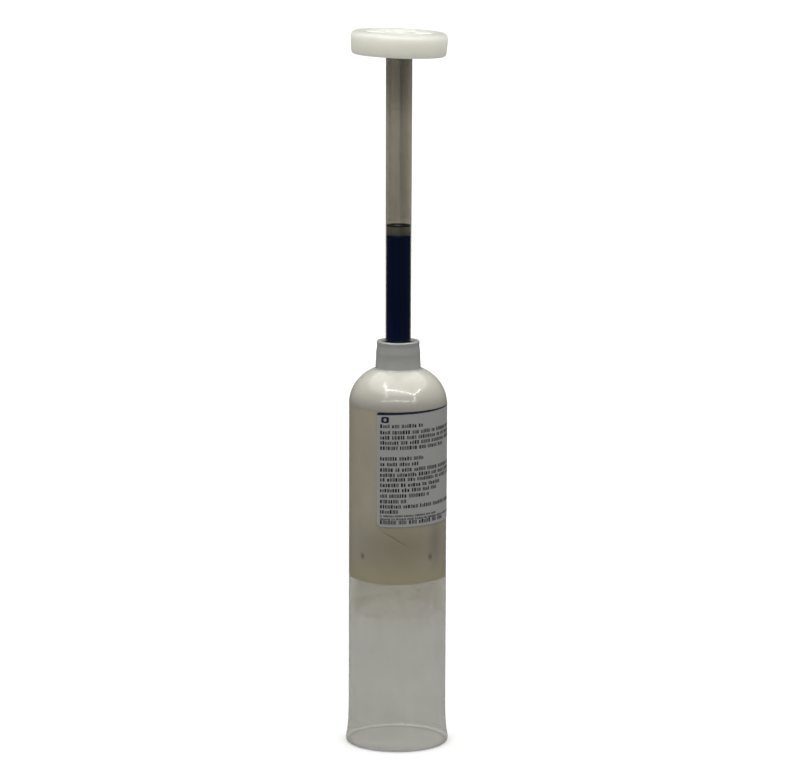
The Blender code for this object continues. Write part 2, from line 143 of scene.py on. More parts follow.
def rounded(corners, closed=True):
    """An outline from corners (radius, height) or (radius, height, fillet), with arcs at the fillets."""
    points = []
    count = len(corners)
    for i, corner in enumerate(corners):
        here = Vector(corner[:2])
        fillet = corner[2] if len(corner) > 2 else 0
        ends = not closed and i in (0, count - 1)
        before = Vector(corners[i - 1][:2]) - here
        after = Vector(corners[(i + 1) % count][:2]) - here
        if not fillet or ends:
            points.append(tuple(here))
            continue
        half = before.angle(after) / 2
        reach = min(fillet / math.tan(half), 0.48 * before.length, 0.48 * after.length)
        radius = reach * math.tan(half)
        inward = (before.normalized() + after.normalized()).normalized()
        centre = here + inward * (radius / math.sin(half))
        first = here + before.normalized() * reach - centre
        last = here + after.normalized() * reach - centre
        start = math.atan2(first.y, first.x)
        sweep = math.remainder(math.atan2(last.y, last.x) - start, 2 * math.pi)
        steps = max(2, math.ceil(abs(sweep) / math.radians(15)))
        for step in range(steps + 1):
            angle = start + sweep * step / steps
            points.append((centre.x + radius * math.cos(angle), centre.y + radius * math.sin(angle)))
    return points


def add_object(name, bm, material):
    mesh = bpy.data.meshes.new(name)
    bm.to_mesh(mesh)
    bm.free()
    mesh.materials.append(material)
    obj = bpy.data.objects.new(name, mesh)
    bpy.context.scene.collection.objects.link(obj)
    return obj


def shade(obj):
    obj.data.shade_smooth()
    obj.data.set_sharp_from_angle(angle=SMOOTH_ANGLE)
    return obj


def ring_of(bm, radius, height, segments):
    """The vertices of one ring, or one vertex on the axis."""
    if radius < 1e-6:
        return [bm.verts.new((0, 0, height * MM))]
    ring = []
    for i in range(segments):
        angle = 2 * math.pi * i / segments
        ring.append(bm.verts.new((radius * math.cos(angle) * MM, radius * math.sin(angle) * MM, height * MM)))
    return ring


def join_rings(bm, first, second):
    count = max(len(first), len(second))
    for i in range(count):
        after = (i + 1) % count
        if len(first) == 1:
            bm.faces.new((first[0], second[i], second[after]))
        elif len(second) == 1:
            bm.faces.new((first[i], second[0], first[after]))
        else:
            bm.faces.new((first[i], second[i], second[after], first[after]))


def lathe(name, outline, material, segments=SEGMENTS):
    """A closed turned mesh: a loop round a hole, or an outline from axis to axis."""
    bm = bmesh.new()
    rings = [ring_of(bm, r, z, segments) for r, z in outline]
    solid = outline[0][0] < 1e-6 and outline[-1][0] < 1e-6
    for first, second in zip(rings, rings[1:]):
        join_rings(bm, first, second)
    if not solid:
        join_rings(bm, rings[-1], rings[0])
    bmesh.ops.recalc_face_normals(bm, faces=bm.faces)
    return shade(add_object(name, bm, material))


def helix(name, root_r, crest_r, root_w, crest_w, pitch, turns, low, material):
    """A thread's ridge, fading in and out at its ends."""
    bm = bmesh.new()
    steps = int(turns * FEW_SEGMENTS)
    sections = []
    for i in range(steps + 1):
        angle = 2 * math.pi * turns * i / steps
        fade = min(1, 6 * i / steps, 6 * (steps - i) / steps)
        crest = root_r + (crest_r - root_r) * max(fade, 0.05)
        height = low + pitch * turns * i / steps
        corners = [
            (root_r, -root_w / 2),
            (crest, -crest_w / 2),
            (crest, crest_w / 2),
            (root_r, root_w / 2),
        ]
        sections.append(
            [
                bm.verts.new((r * math.cos(angle) * MM, r * math.sin(angle) * MM, (height + z) * MM))
                for r, z in corners
            ]
        )
    for first, second in zip(sections, sections[1:]):
        join_rings(bm, first, second)
    bm.faces.new(sections[0])
    bm.faces.new(sections[-1])
    bmesh.ops.recalc_face_normals(bm, faces=bm.faces)
    return shade(add_object(name, bm, material))


def cutter(name, shapes):
    """A hidden tool made of cylinders (radius, low, high, distance, degrees) and bars (inner, outer,
    width, low, high, degrees)."""
    bm = bmesh.new()
    for shape in shapes:
        if len(shape) == 5:
            radius, low, high, distance, degrees = shape
            turn = Matrix.Rotation(math.radians(degrees), 4, "Z")
            place = turn @ Matrix.Translation((distance * MM, 0, (low + high) / 2 * MM))
            bmesh.ops.create_cone(
                bm,
                cap_ends=True,
                segments=48,
                radius1=radius * MM,
                radius2=radius * MM,
                depth=(high - low) * MM,
                matrix=place,
            )
        else:
            inner, outer, width, low, high, degrees = shape
            turn = Matrix.Rotation(math.radians(degrees), 4, "Z")
            place = turn @ Matrix.Translation(((inner + outer) / 2 * MM, 0, (low + high) / 2 * MM))
            size = Matrix.Diagonal(((outer - inner) * MM, width * MM, (high - low) * MM, 1))
            bmesh.ops.create_cube(bm, size=1, matrix=place @ size)
    mesh = bpy.data.meshes.new(name)
    bm.to_mesh(mesh)
    bm.free()
    return bpy.data.objects.new(name, mesh)


def combine(obj, tool, operation):
    """Applies a Boolean and removes its tool."""
    bpy.context.scene.collection.objects.link(tool)
    modifier = obj.modifiers.new("combine", "BOOLEAN")
    modifier.operation = operation
    modifier.object = tool
    modifier.solver = "EXACT"
    apply_modifiers(obj)
    bpy.data.objects.remove(tool)


def apply_modifiers(obj):
    bpy.context.view_layer.update()
    evaluated = obj.evaluated_get(bpy.context.evaluated_depsgraph_get())
    old = obj.data
    obj.data = bpy.data.meshes.new_from_object(evaluated)
    obj.modifiers.clear()
    obj.data.name = old.name
    bpy.data.meshes.remove(old)
    return shade(obj)


def soften(obj, width, segments=3):
    """Rounds the sharp edges and keeps the shading flat across the large faces."""
    bevel = obj.modifiers.new("soften", "BEVEL")
    bevel.width = width * MM
    bevel.segments = segments
    bevel.limit_method = "ANGLE"
    bevel.angle_limit = SMOOTH_ANGLE
    bevel.harden_normals = True
    return obj


def shoulder_angle(radius, reach):
    """Where an arc of that reach about the shoulder's centre stands at a radius, in degrees."""
    return math.degrees(math.acos((radius - SHOULDER_CENTRE_R) / reach))


def repaint(obj, radius, low, high, material, inward=False):
    """Gives the faces within a radius, between two heights, a material of their own. Inward keeps it to
    the faces that look towards the axis."""
    obj.data.materials.append(material)
    number = len(obj.data.materials) - 1
    for face in obj.data.polygons:
        middle = face.center
        away = math.hypot(middle.x, middle.y)
        facing = (middle.x * face.normal.x + middle.y * face.normal.y) / away
        if inward and facing > -0.1:
            continue
        if away < radius * MM and low < middle.z / MM < high:
            face.material_index = number


def settle(obj, body, slot, *nodes):
    """Rides on a body and stands for CAD nodes. The slot is not used."""
    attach(obj, body)
    if nodes:
        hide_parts(*nodes)
    return obj


# --- Material nodes ---------------------------------------------------------------------------


class Paint:
    """A Principled material and the nodes that feed it, in the piece's own coordinates in metres."""

    def __init__(self, name, alpha=1.0, coat=0.0, polish=0.12, subsurface=0.0, reach=0.004):
        self.material = bpy.data.materials.new(name)
        self.material.use_nodes = True
        self.tree = self.material.node_tree
        self.shader = self.tree.nodes["Principled BSDF"]
        self.shader.inputs["Alpha"].default_value = alpha
        self.shader.inputs["Coat Weight"].default_value = coat
        self.shader.inputs["Coat Roughness"].default_value = polish
        self.shader.inputs["Subsurface Weight"].default_value = subsurface
        self.shader.inputs["Subsurface Scale"].default_value = reach
        self.shader.inputs["Subsurface Radius"].default_value = (1.0, 0.95, 0.85)
        self.place = self.node("ShaderNodeTexCoord").outputs["Object"]
        split = self.node("ShaderNodeSeparateXYZ")
        self.link(self.place, split.inputs[0])
        self.x, self.y, self.z = split.outputs

    def gloss(self, level):
        """Strength of the plain reflection, 0.5 for its real strength."""
        self.shader.inputs["Specular IOR Level"].default_value = level

    def glow(self, tint, strength):
        """Stands for the light that a translucent moulding passes on to its shaded sides."""
        self.shader.inputs["Emission Color"].default_value = (*tint, 1.0)
        self.feed(self.shader.inputs["Emission Strength"], strength)

    def see_through(self, opacity, tint):
        """Shows what is behind, tinted, past a surface of that opacity."""
        clear = self.node("ShaderNodeBsdfTransparent")
        clear.inputs["Color"].default_value = (*tint, 1.0)
        both = self.node("ShaderNodeMixShader")
        self.feed(both.inputs["Fac"], opacity)
        self.link(clear.outputs[0], both.inputs[1])
        self.link(self.shader.outputs[0], both.inputs[2])
        self.link(both.outputs[0], self.tree.nodes["Material Output"].inputs["Surface"])

    def node(self, kind, **settings):
        made = self.tree.nodes.new(kind)
        for key, value in settings.items():
            setattr(made, key, value)
        return made

    def link(self, source, target):
        self.tree.links.new(source, target)

    def feed(self, target, value):
        """Sets an input to a number or a colour, or links a socket to it."""
        if isinstance(value, bpy.types.NodeSocket):
            self.link(value, target)
        elif isinstance(value, tuple):
            target.default_value = (*value, 1.0) if len(target.default_value) == 4 else value
        else:
            target.default_value = value

    def math(self, operation, a, b=0.0):
        made = self.node("ShaderNodeMath", operation=operation)
        self.feed(made.inputs[0], a)
        self.feed(made.inputs[1], b)
        return made.outputs[0]

    def noise(self, scale, detail=3.0, stretch=(1, 1, 1), distortion=0.0):
        """Noise from 0 to 1. Scale is features per metre, and stretch divides it along each axis."""
        mapping = self.node("ShaderNodeMapping")
        mapping.inputs["Scale"].default_value = tuple(scale / s for s in stretch)
        self.link(self.place, mapping.inputs["Vector"])
        made = self.node("ShaderNodeTexNoise")
        made.inputs["Scale"].default_value = 1.0
        made.inputs["Detail"].default_value = detail
        made.inputs["Roughness"].default_value = 0.55
        made.inputs["Distortion"].default_value = distortion
        self.link(mapping.outputs[0], made.inputs["Vector"])
        return made.outputs["Fac"]

    def ramp(self, value, low, high, start=0.0, end=1.0):
        """Runs smoothly from start to end as value runs from low to high."""
        made = self.node("ShaderNodeMapRange", interpolation_type="SMOOTHSTEP")
        self.feed(made.inputs["Value"], value)
        made.inputs["From Min"].default_value = low
        made.inputs["From Max"].default_value = high
        made.inputs["To Min"].default_value = start
        made.inputs["To Max"].default_value = end
        return made.outputs["Result"]

    def times(self, a, b):
        return self.math("MULTIPLY", a, b)

    def plus(self, a, b):
        return self.math("ADD", a, b)

    def bump_at(self, value, middle, width):
        """1 at middle, falling to 0 at width either side."""
        away = self.math("ABSOLUTE", self.math("SUBTRACT", value, middle))
        return self.ramp(away, 0.0, width, 1.0, 0.0)

    def mix(self, share, a, b):
        made = self.node("ShaderNodeMix", data_type="RGBA")
        self.feed(made.inputs[0], share)
        self.feed(made.inputs[6], a)
        self.feed(made.inputs[7], b)
        return made.outputs[2]

    def colour(self, value):
        self.feed(self.shader.inputs["Base Color"], value)

    def roughness(self, value):
        self.feed(self.shader.inputs["Roughness"], value)

    def bump(self, height, depth):
        """Relief of that depth in millimetres, on top of any that is there."""
        made = self.node("ShaderNodeBump")
        made.inputs["Strength"].default_value = 1.0
        made.inputs["Distance"].default_value = depth * MM
        self.feed(made.inputs["Height"], height)
        normal = self.shader.inputs["Normal"]
        if normal.is_linked:
            self.link(normal.links[0].from_socket, made.inputs["Normal"])
        self.link(made.outputs["Normal"], normal)

    def angle(self):
        """Direction round the axis in radians, 0 at the front (-Y) and positive towards +X."""
        return self.math("ARCTAN2", self.x, self.times(self.y, -1.0))


def barrel_plastic(name, alpha, light, dark, crown=None):
    """Natural polyethylene: milky and clouded, with faint flow lines, scuffs near the rim, a film of
    compound where the plunger has passed and a hairline crease below the label. The wall hides most of
    the paste behind it, so the paste's lobe marks are shaded in here too, along with a painted shade band
    above the paste's lower edge and a painted dark reflection running down as a streak. Crown is the tone
    of the shoulder's top, a painted light where the light from above falls."""
    paint = Paint(name, alpha=alpha, coat=0.5, polish=0.07)
    cloud = paint.noise(32, detail=4)
    flow = paint.noise(420, detail=2, stretch=(1, 1, 30))
    tone = paint.mix(paint.ramp(cloud, 0.35, 0.65), dark, light)
    tone = paint.mix(paint.ramp(flow, 0.45, 0.75, 0.0, 0.3), tone, dark)
    # Painted light: the shoulder's top is lighter, where the light from above falls.
    if crown:
        tone = paint.mix(paint.ramp(paint.z, (SHOULDER_Z - 4) * MM, (SHOULDER_Z + 7) * MM), tone, crown)
    tone = paint.mix(paint.ramp(paint.z, 1 * MM, 9 * MM, 0.5, 0.0), tone, dark)
    film = paint.times(
        paint.bump_at(paint.z, FILM_Z * MM, 24 * MM),
        paint.ramp(paint.noise(60, detail=3), 0.2, 0.7, 0.7, 1.0),
    )
    tone = paint.mix(film, tone, (0.72, 0.65, 0.45))
    # Painted shade: a darker band above the paste's lower edge, strongest towards the front.
    painted_shade_band = paint.times(
        paint.bump_at(paint.z, SHADE_Z * MM, 20 * MM), paint.bump_at(paint.angle(), 0.1, 1.3)
    )
    tone = paint.mix(paint.times(painted_shade_band, 0.55), tone, (0.50, 0.44, 0.28))
    # Painted dark reflection: a darker vertical streak right of the front.
    streak = paint.times(
        paint.bump_at(paint.angle(), DARK_REFLECTION_TURN, 0.32), paint.bump_at(paint.z, SHADE_Z * MM, 19 * MM)
    )
    tone = paint.mix(paint.times(streak, 0.55), tone, (0.34, 0.33, 0.27))
    for turn in FRONT_LOBE_TURNS:
        spot = paint.times(
            paint.bump_at(paint.angle(), turn, 0.08),
            paint.bump_at(paint.z, LOBE_SPOT_Z * MM, 2.2 * MM),
        )
        tone = paint.mix(paint.times(spot, 0.6), tone, (0.16, 0.13, 0.09))
    slope = paint.plus(paint.z, paint.times(paint.angle(), CREASE_RISE * MM))
    wavering = paint.plus(slope, paint.times(paint.noise(120), 2.4 * MM))
    crease = paint.bump_at(wavering, CREASE_Z * MM, 0.5 * MM)
    crease = paint.times(crease, paint.bump_at(paint.angle(), CREASE_TURN, 0.42))
    paint.colour(paint.mix(paint.times(crease, 0.65), tone, (0.20, 0.18, 0.12)))
    scuff = paint.noise(900, detail=4, stretch=(1, 1, 0.25))
    near_rim = paint.ramp(paint.z, 2 * MM, 14 * MM, 1.0, 0.15)
    worn = paint.times(paint.ramp(scuff, 0.55, 0.7), near_rim)
    paint.roughness(paint.plus(paint.ramp(cloud, 0.3, 0.7, 0.16, 0.22), paint.times(worn, 0.3)))
    paint.bump(paint.noise(260, detail=2), 0.012)
    paint.bump(scuff, 0.004)
    return paint.material


def inner_film(name, tint, opacity):
    """The inner face of a clear wall: almost nothing but its gloss, with a little haze."""
    paint = Paint(name, alpha=opacity)
    haze = paint.noise(80, detail=3)
    paint.colour(paint.mix(haze, tint, tuple(0.85 * c for c in tint)))
    paint.roughness(paint.ramp(haze, 0.3, 0.7, 0.26, 0.4))
    paint.bump(haze, 0.01)
    return paint.material


def compound_paste():
    """Ivory paste pressed against the barrel: mottled, smeared, with painted shade making it darker above
    its lower edge, and a scrape at each of the dasher's lobes."""
    paint = Paint("base_compound_paste")
    mottle = paint.noise(90, detail=5, distortion=0.4)
    smear = paint.noise(220, detail=3, stretch=(1, 1, 5), distortion=0.6)
    tone = paint.mix(paint.ramp(mottle, 0.3, 0.7), (0.76, 0.64, 0.38), (0.84, 0.74, 0.48))
    tone = paint.mix(paint.ramp(smear, 0.5, 0.72, 0.0, 0.5), tone, (0.70, 0.57, 0.34))
    # Painted shade: a darker band above the paste's lower edge.
    painted_shade_band = paint.bump_at(paint.z, (COMPOUND_LOW + 17) * MM, 16 * MM)
    tone = paint.mix(paint.times(painted_shade_band, 0.7), tone, (0.40, 0.32, 0.20))
    for turn in FRONT_LOBE_TURNS + BACK_LOBE_TURNS:
        spot = paint.times(
            paint.bump_at(paint.angle(), turn, 0.09),
            paint.bump_at(paint.z, LOBE_SPOT_Z * MM, 2.4 * MM),
        )
        tone = paint.mix(paint.times(spot, 0.85), tone, (0.06, 0.045, 0.03))
    paint.colour(tone)
    paint.roughness(paint.ramp(mottle, 0.3, 0.7, 0.42, 0.6))
    paint.bump(mottle, 0.12)
    paint.bump(smear, 0.05)
    return paint.material


def white_plastic(name, light, dark, alpha=1.0, glow=0.0, crown=None):
    """Milky moulded polyethylene, waxy, with moulding haze and handling scuffs. Glow is a painted glow for
    the light that the moulding passes on. Crown is the tone of the handle's top, painted darker where the
    light from above falls strongest."""
    paint = Paint(name, alpha=alpha, subsurface=1.0, reach=0.02)
    paint.glow((1.0, 1.0, 0.86), glow)
    cloud = paint.noise(60, detail=3)
    scuff = paint.noise(700, detail=4, stretch=(1, 1, 2))
    tone = paint.mix(paint.ramp(cloud, 0.3, 0.7), dark, light)
    tone = paint.mix(paint.ramp(scuff, 0.62, 0.75, 0.0, 0.2), tone, dark)
    # Painted shade: the handle's top is darker where the light from above falls strongest.
    if crown:
        height = paint.plus(paint.z, paint.times(paint.x, math.tan(HANDLE_TILT)))
        top = HANDLE_FOOT_Z + HANDLE_H
        tone = paint.mix(paint.ramp(height, (top - 1.8) * MM, (top - 0.2) * MM), tone, crown)
    paint.colour(tone)
    paint.roughness(paint.ramp(scuff, 0.4, 0.75, 0.32, 0.48))
    paint.bump(paint.noise(420, detail=2), 0.012)
    paint.bump(scuff, 0.006)
    return paint.material


def rod_plastic():
    """Smoky clear tube: drawn streaks along it, a dark line and a darker one down its right, and a painted
    shadow of the handle that makes it darkest by the handle."""
    paint = Paint("rod_plastic")
    paint.gloss(0.2)
    streak = paint.noise(700, detail=3, stretch=(1, 1, 160))
    blotch = paint.noise(70, detail=4, stretch=(1, 1, 3))
    paint.colour(paint.mix(paint.ramp(streak, 0.3, 0.7), (0.004, 0.005, 0.006), (0.007, 0.008, 0.009)))
    smoke = paint.ramp(streak, 0.3, 0.7, ROD_OPACITY - 0.02, ROD_OPACITY + 0.02)
    line = paint.bump_at(paint.angle(), 0.42, 0.5)
    # Painted shadow of the handle: the tube grows darker towards the handle.
    painted_handle_shadow = paint.ramp(paint.z, (HANDLE_FOOT_Z - 35) * MM, (HANDLE_FOOT_Z - 4) * MM, 0.0, 0.12)
    thin_line = paint.times(
        paint.bump_at(paint.angle(), 0.17, 0.2), paint.ramp(paint.z, 240 * MM, 300 * MM, 0.25, 1.0)
    )
    smoke = paint.plus(smoke, paint.plus(paint.times(line, 0.07), painted_handle_shadow))
    smoke = paint.plus(smoke, paint.times(thin_line, 0.13))
    smoke = paint.plus(smoke, paint.ramp(blotch, 0.4, 0.7, -0.02, 0.03))
    paint.see_through(smoke, (1.0, 0.95, 0.84))
    paint.roughness(paint.ramp(streak, 0.3, 0.7, 0.12, 0.26))
    paint.bump(streak, 0.02)
    return paint.material


def accelerator_paste():
    """Navy-black paste, wet against the tube, with fine paler streaks."""
    paint = Paint("accelerator_paste")
    paint.gloss(0.2)
    streak = paint.noise(300, detail=3, stretch=(1, 1, 20))
    paint.colour(paint.mix(paint.ramp(streak, 0.35, 0.7), (0.0, 0.034, 0.26), (0.0, 0.044, 0.32)))
    paint.roughness(paint.ramp(streak, 0.3, 0.7, 0.22, 0.4))
    paint.bump(paint.noise(400, detail=3), 0.03)
    return paint.material


def rubber(name, light, dark):
    paint = Paint(name)
    grain = paint.noise(1500, detail=3)
    paint.colour(paint.mix(paint.ramp(grain, 0.35, 0.65), dark, light))
    paint.roughness(paint.ramp(grain, 0.3, 0.7, 0.5, 0.7))
    paint.bump(grain, 0.015)
    return paint.material


def plug_plastic():
    """Pale plug, soaked dark by the paste at its foot, with a black crown beside its ring."""
    paint = Paint("plug_plastic")
    grain = paint.noise(900, detail=3)
    cloud = paint.noise(200, detail=2)
    tone = paint.mix(paint.ramp(cloud, 0.3, 0.7), (0.76, 0.82, 0.88), (0.86, 0.92, 0.98))
    soaked = paint.ramp(paint.z, (PISTON_LOW - 1.2) * MM, (PISTON_LOW + 1.7) * MM, 1.0, 0.0)
    tone = paint.mix(soaked, tone, (0.01, 0.09, 0.30))
    black = paint.ramp(paint.z, (SEAL_LOW + 0.2) * MM, (SEAL_LOW + 0.4) * MM)
    paint.colour(paint.mix(black, tone, (0.01, 0.01, 0.01)))
    paint.roughness(paint.ramp(grain, 0.3, 0.7, 0.4, 0.58))
    paint.bump(grain, 0.01)
    return paint.material


def label_paper():
    """Coated paper with faint fibres, a little dirt and a soft gloss."""
    paint = Paint("label_paper", coat=0.1)
    fibre = paint.noise(1600, detail=4, stretch=(1, 1, 0.35))
    dirt = paint.noise(70, detail=4)
    tone = paint.mix(paint.ramp(fibre, 0.35, 0.65), (0.60, 0.60, 0.575), (0.65, 0.65, 0.62))
    paint.colour(paint.mix(paint.ramp(dirt, 0.5, 0.75, 0.0, 0.35), tone, (0.55, 0.54, 0.50)))
    paint.roughness(paint.ramp(fibre, 0.3, 0.7, 0.36, 0.5))
    paint.bump(fibre, 0.008)
    paint.bump(paint.noise(55, detail=2), 0.05)
    return paint.material


def ink(name, light, dark):
    """Printed ink: slightly uneven, and paler where the paper's fibres show."""
    paint = Paint(name)
    speck = paint.noise(2500, detail=2)
    paint.colour(paint.mix(paint.ramp(speck, 0.4, 0.7), dark, light))
    paint.roughness(paint.ramp(speck, 0.3, 0.7, 0.34, 0.5))
    return paint.material


# --- Pieces -----------------------------------------------------------------------------------


def make_barrel(material, crown, thick, clear, inner):
    """The shell and its neck thread. The shoulder, neck, foot and bore each take their own material."""
    flare_top = 20.0
    flare_low = 2.9
    steps = 14
    flare = []
    for i in range(steps + 1):
        z = flare_top + (flare_low - flare_top) * i / steps
        flare.append((BARREL_R + math.exp(-(z - flare_low) / 4.6), z))
    centre = (SHOULDER_CENTRE_R, SHOULDER_Z)
    reach = BARREL_R - SHOULDER_CENTRE_R
    shoulder = arc(centre, (reach, SHOULDER_H), shoulder_angle(NECK_FOOT_R, reach), 0, 26)
    neck = rounded(
        [
            (8.6, NECK_TOP),
            (9.7, NECK_TOP, 0.8),
            (9.57, NECK_TOP - 2.2, 0.6),
            (9.98, NECK_TOP - 5.2, 0.8),
            (9.98, NECK_TOP - 7.4, 0.8),
            (10.3, NECK_TOP - 12.6, 1.2),
            shoulder[0],
        ],
        closed=False,
    )
    rim = rounded(
        [
            (RIM_R, 1.9, 0.6),
            (RIM_R, 0.0, 1.5),
            (BORE_R + 0.6, 0.0, 0.3),
            (BORE_R, 2.2, 0.6),
            (BORE_R, 12.0),
        ],
        closed=False,
    )
    reach = BORE_R - SHOULDER_CENTRE_R
    dome = arc(centre, (reach, SHOULDER_H - WALL), 0, shoulder_angle(THROAT_R, reach), 22)
    throat_z = WIPER_LOW - 0.35
    groove_z = WIPER_HIGH + 0.35
    bore = rounded(
        [
            dome[-2],
            (*dome[-1], 0.2),
            (THROAT_R, throat_z, 0.05),
            (7.7, throat_z, 0.1),
            (7.7, groove_z, 0.1),
            (6.86, groove_z, 0.2),
            (6.86, NECK_TOP - 0.7, 0.2),
            (7.56, NECK_TOP, 0.2),
            (8.6, NECK_TOP),
        ],
        closed=False,
    )
    outline = neck + shoulder[1:] + flare[1:] + rim + dome[:-2] + bore[:-1]
    barrel = lathe("barrel_shell", outline, material)
    # The shoulder's material has a painted light on its top.
    repaint(barrel, RIM_R + 1, SHOULDER_Z, NECK_TOP, crown)
    repaint(barrel, NECK_FOOT_R, SHOULDER_Z, NECK_TOP + 1, thick)
    # The rim's lowest faces take a lighter, clearer copy: painted light in place of light from the floor.
    repaint(barrel, RIM_R + 1, -1, CLEAR_EDGE_H, clear)
    repaint(barrel, BORE_R + 0.5, 0.3, dome[-1][1] + 0.1, inner, inward=True)
    settle(barrel, "cartridge", "natural_polyethylene", "cartridge_barrel")
    thread = helix("neck_thread", 6.9, 6.2, 1.1, 0.3, 1.41, 5, NECK_TOP - 9.6, thick)
    settle(thread, "cartridge", "natural_polyethylene")


def make_compound(material):
    """The paste is drawn out to just under the wall's outer face, as the real wall magnifies it."""
    radius = BARREL_R - PASTE_GAP
    hole = ROD_HEAD_R + GAP
    reach = radius - SHOULDER_CENTRE_R
    hub_top = DASHER_HIGH + GAP
    crown = PLUNGER_HIGH + GAP
    flat_r = 6.5
    dome = arc((flat_r, COMPOUND_LOW), (radius - flat_r - 0.2, crown - COMPOUND_LOW), 2, 90, 16)
    shoulder = arc(
        (SHOULDER_CENTRE_R, SHOULDER_Z),
        (reach, SHOULDER_H - 0.3),
        shoulder_angle(hole, reach),
        0,
        24,
    )
    outline = rounded(
        [
            *shoulder,
            *[(radius, SHOULDER_Z - 8 * i) for i in range(1, 9)],
            (radius, COMPOUND_LOW, 0.15),
            *dome,
            (3.4, crown),
            (3.4, DASHER_LOW - GAP),
            (DASHER_HUB_R + GAP, DASHER_LOW - GAP),
            (DASHER_HUB_R + GAP, hub_top),
            (hole, hub_top),
        ]
    )
    compound = lathe("base_compound_paste", outline, material)
    for vert in compound.data.vertices:
        x, y, z = vert.co
        edge = max(0.0, 1 - abs(z / MM - COMPOUND_LOW) / 4)
        turn = math.atan2(y, x)
        wave = -0.27 * math.sin(3 * turn + 0.6) + 0.06 * math.sin(7 * turn)
        vert.co.z += edge * wave * MM
    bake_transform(compound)
    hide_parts("base_compound")


def make_plunger(material, lining):
    """A cup with two lips and a domed crown. The lining is the material of its hollow side."""
    lip = PLUNGER_R
    waist = 19.7
    base = PLUNGER_LOW
    crown = PLUNGER_HIGH
    rim = COMPOUND_LOW - GAP
    wall = 1.8
    flat_r = 6.5
    dome = arc((flat_r, rim), (19.9 - flat_r, crown - rim), 90, 4, 18)
    inner = arc((flat_r, rim + 0.4), (waist - wall - flat_r, crown - rim - wall - 0.4), 0, 90, 16)
    outline = rounded(
        [
            (0.0, crown),
            *dome,
            (lip, rim - 0.2, 0.3),
            (lip, rim - 2.0, 0.3),
            (waist, rim - 2.8, 0.3),
            (waist, base + 3.6, 0.3),
            (lip, base + 2.8, 0.3),
            (lip, base + 1.4, 0.3),
            (waist + 0.2, base, 0.2),
            (waist - wall, base, 0.3),
            *inner,
            (2.6, crown - wall),
            (2.6, crown - wall - 0.5, 0.2),
            (0.0, crown - wall - 0.5),
        ],
        closed=False,
    )
    cup = lathe("plunger_cup", outline, material)
    repaint(cup, waist - wall + 0.1, base, crown - wall + 0.1, lining, inward=True)
    settle(cup, "plunger", "white_polyethylene", "plunger")


def make_dasher(material):
    base = DASHER_LOW
    plate = base + DASHER_PLATE_H
    outline = rounded(
        [
            (5.85, DASHER_HIGH, 0.2),
            (DASHER_HUB_R, DASHER_HIGH, 0.4),
            (DASHER_HUB_R, plate, 0.8),
            (DASHER_R, plate, 0.6),
            (DASHER_R, base, 0.6),
            (3.4, base, 0.3),
            (3.4, base + 2.5, 0.2),
            (5.85, base + 2.5),
        ]
    )
    dasher = lathe("dasher_disc", outline, material, FEW_SEGMENTS)
    cuts = []
    for lobe in range(4):
        cuts.append((8.6, base - 1, plate + 1, 19.5, 90 * lobe + 1.3))
        for side in (-13, 13):
            cuts.append((1.5, base - 1, plate + 1, 14.2, 45 + 90 * lobe + side + 1.3))
    combine(dasher, cutter("dasher_cuts", cuts), "DIFFERENCE")
    soften(dasher, 0.25, 2)
    settle(dasher, "dasher", "white_polyethylene", "dasher")
    low = ROD_LOW + 2.0
    thread = helix("dasher_thread", 5.9, 5.25, 1.15, 0.3, DASHER_PITCH, DASHER_TURNS, low, material)
    settle(thread, "dasher", "white_polyethylene")


def make_valve(material):
    disc = rounded([(0, VALVE_HIGH), (5.1, VALVE_HIGH, 0.2), (5.1, VALVE_LOW, 0.2), (0, VALVE_LOW)], False)
    valve = lathe("dasher_valve_disc", disc, material, FEW_SEGMENTS)
    for turn in (45, 135):
        slit = (-3.0, 3.0, 0.3, VALVE_LOW - 1, VALVE_HIGH + 1, turn)
        combine(valve, cutter("valve_slit", [slit]), "DIFFERENCE")
    settle(valve, "valve", "grey_rubber", "dasher_valve")


def make_wiper(material):
    section_r = 0.62
    middle = (WIPER_R - section_r, (WIPER_LOW + WIPER_HIGH) / 2)
    ring = arc(middle, (section_r, section_r), 0, -360, 20)[:-1]
    settle(lathe("neck_wiper_ring", ring, material), "wiper", "grey_rubber", "neck_wiper")


def make_rod(material, inner, frosted):
    tip = ROD_LOW
    top = ROD_HIGH
    outline = rounded(
        [
            (ROD_BORE_R + 0.5, top, 0.3),
            (ROD_FLANGE_R, top, 0.3),
            (ROD_FLANGE_R, top - 1.5, 0.2),
            (ROD_HEAD_R, top - 1.7, 0.1),
            (ROD_TIP_R, tip + 7.9, 0.2),
            (5.0, tip + 7.4, 0.1),
            (5.0, tip, 0.4),
            (ROD_OUTLET_R, tip, 0.2),
            (ROD_OUTLET_R, tip + 6.4, 0.3),
            (ROD_BORE_R, tip + 7.6, 0.3),
            (ROD_BORE_R, top - 0.8, 0.2),
        ]
    )
    rod = lathe("dasher_rod_tube", outline, material)
    repaint(rod, ROD_FLANGE_R + 1, top - 1.8, top + 1, frosted)
    repaint(rod, ROD_BORE_R + 0.1, tip, top - 0.9, inner, inward=True)
    settle(rod, "rod", "rod_plastic", "dasher_rod")
    low = tip + 1.2
    thread = helix("rod_thread", 4.95, 5.5, 1.15, 0.3, DASHER_PITCH, DASHER_TURNS, low, material)
    settle(thread, "rod", "rod_plastic")


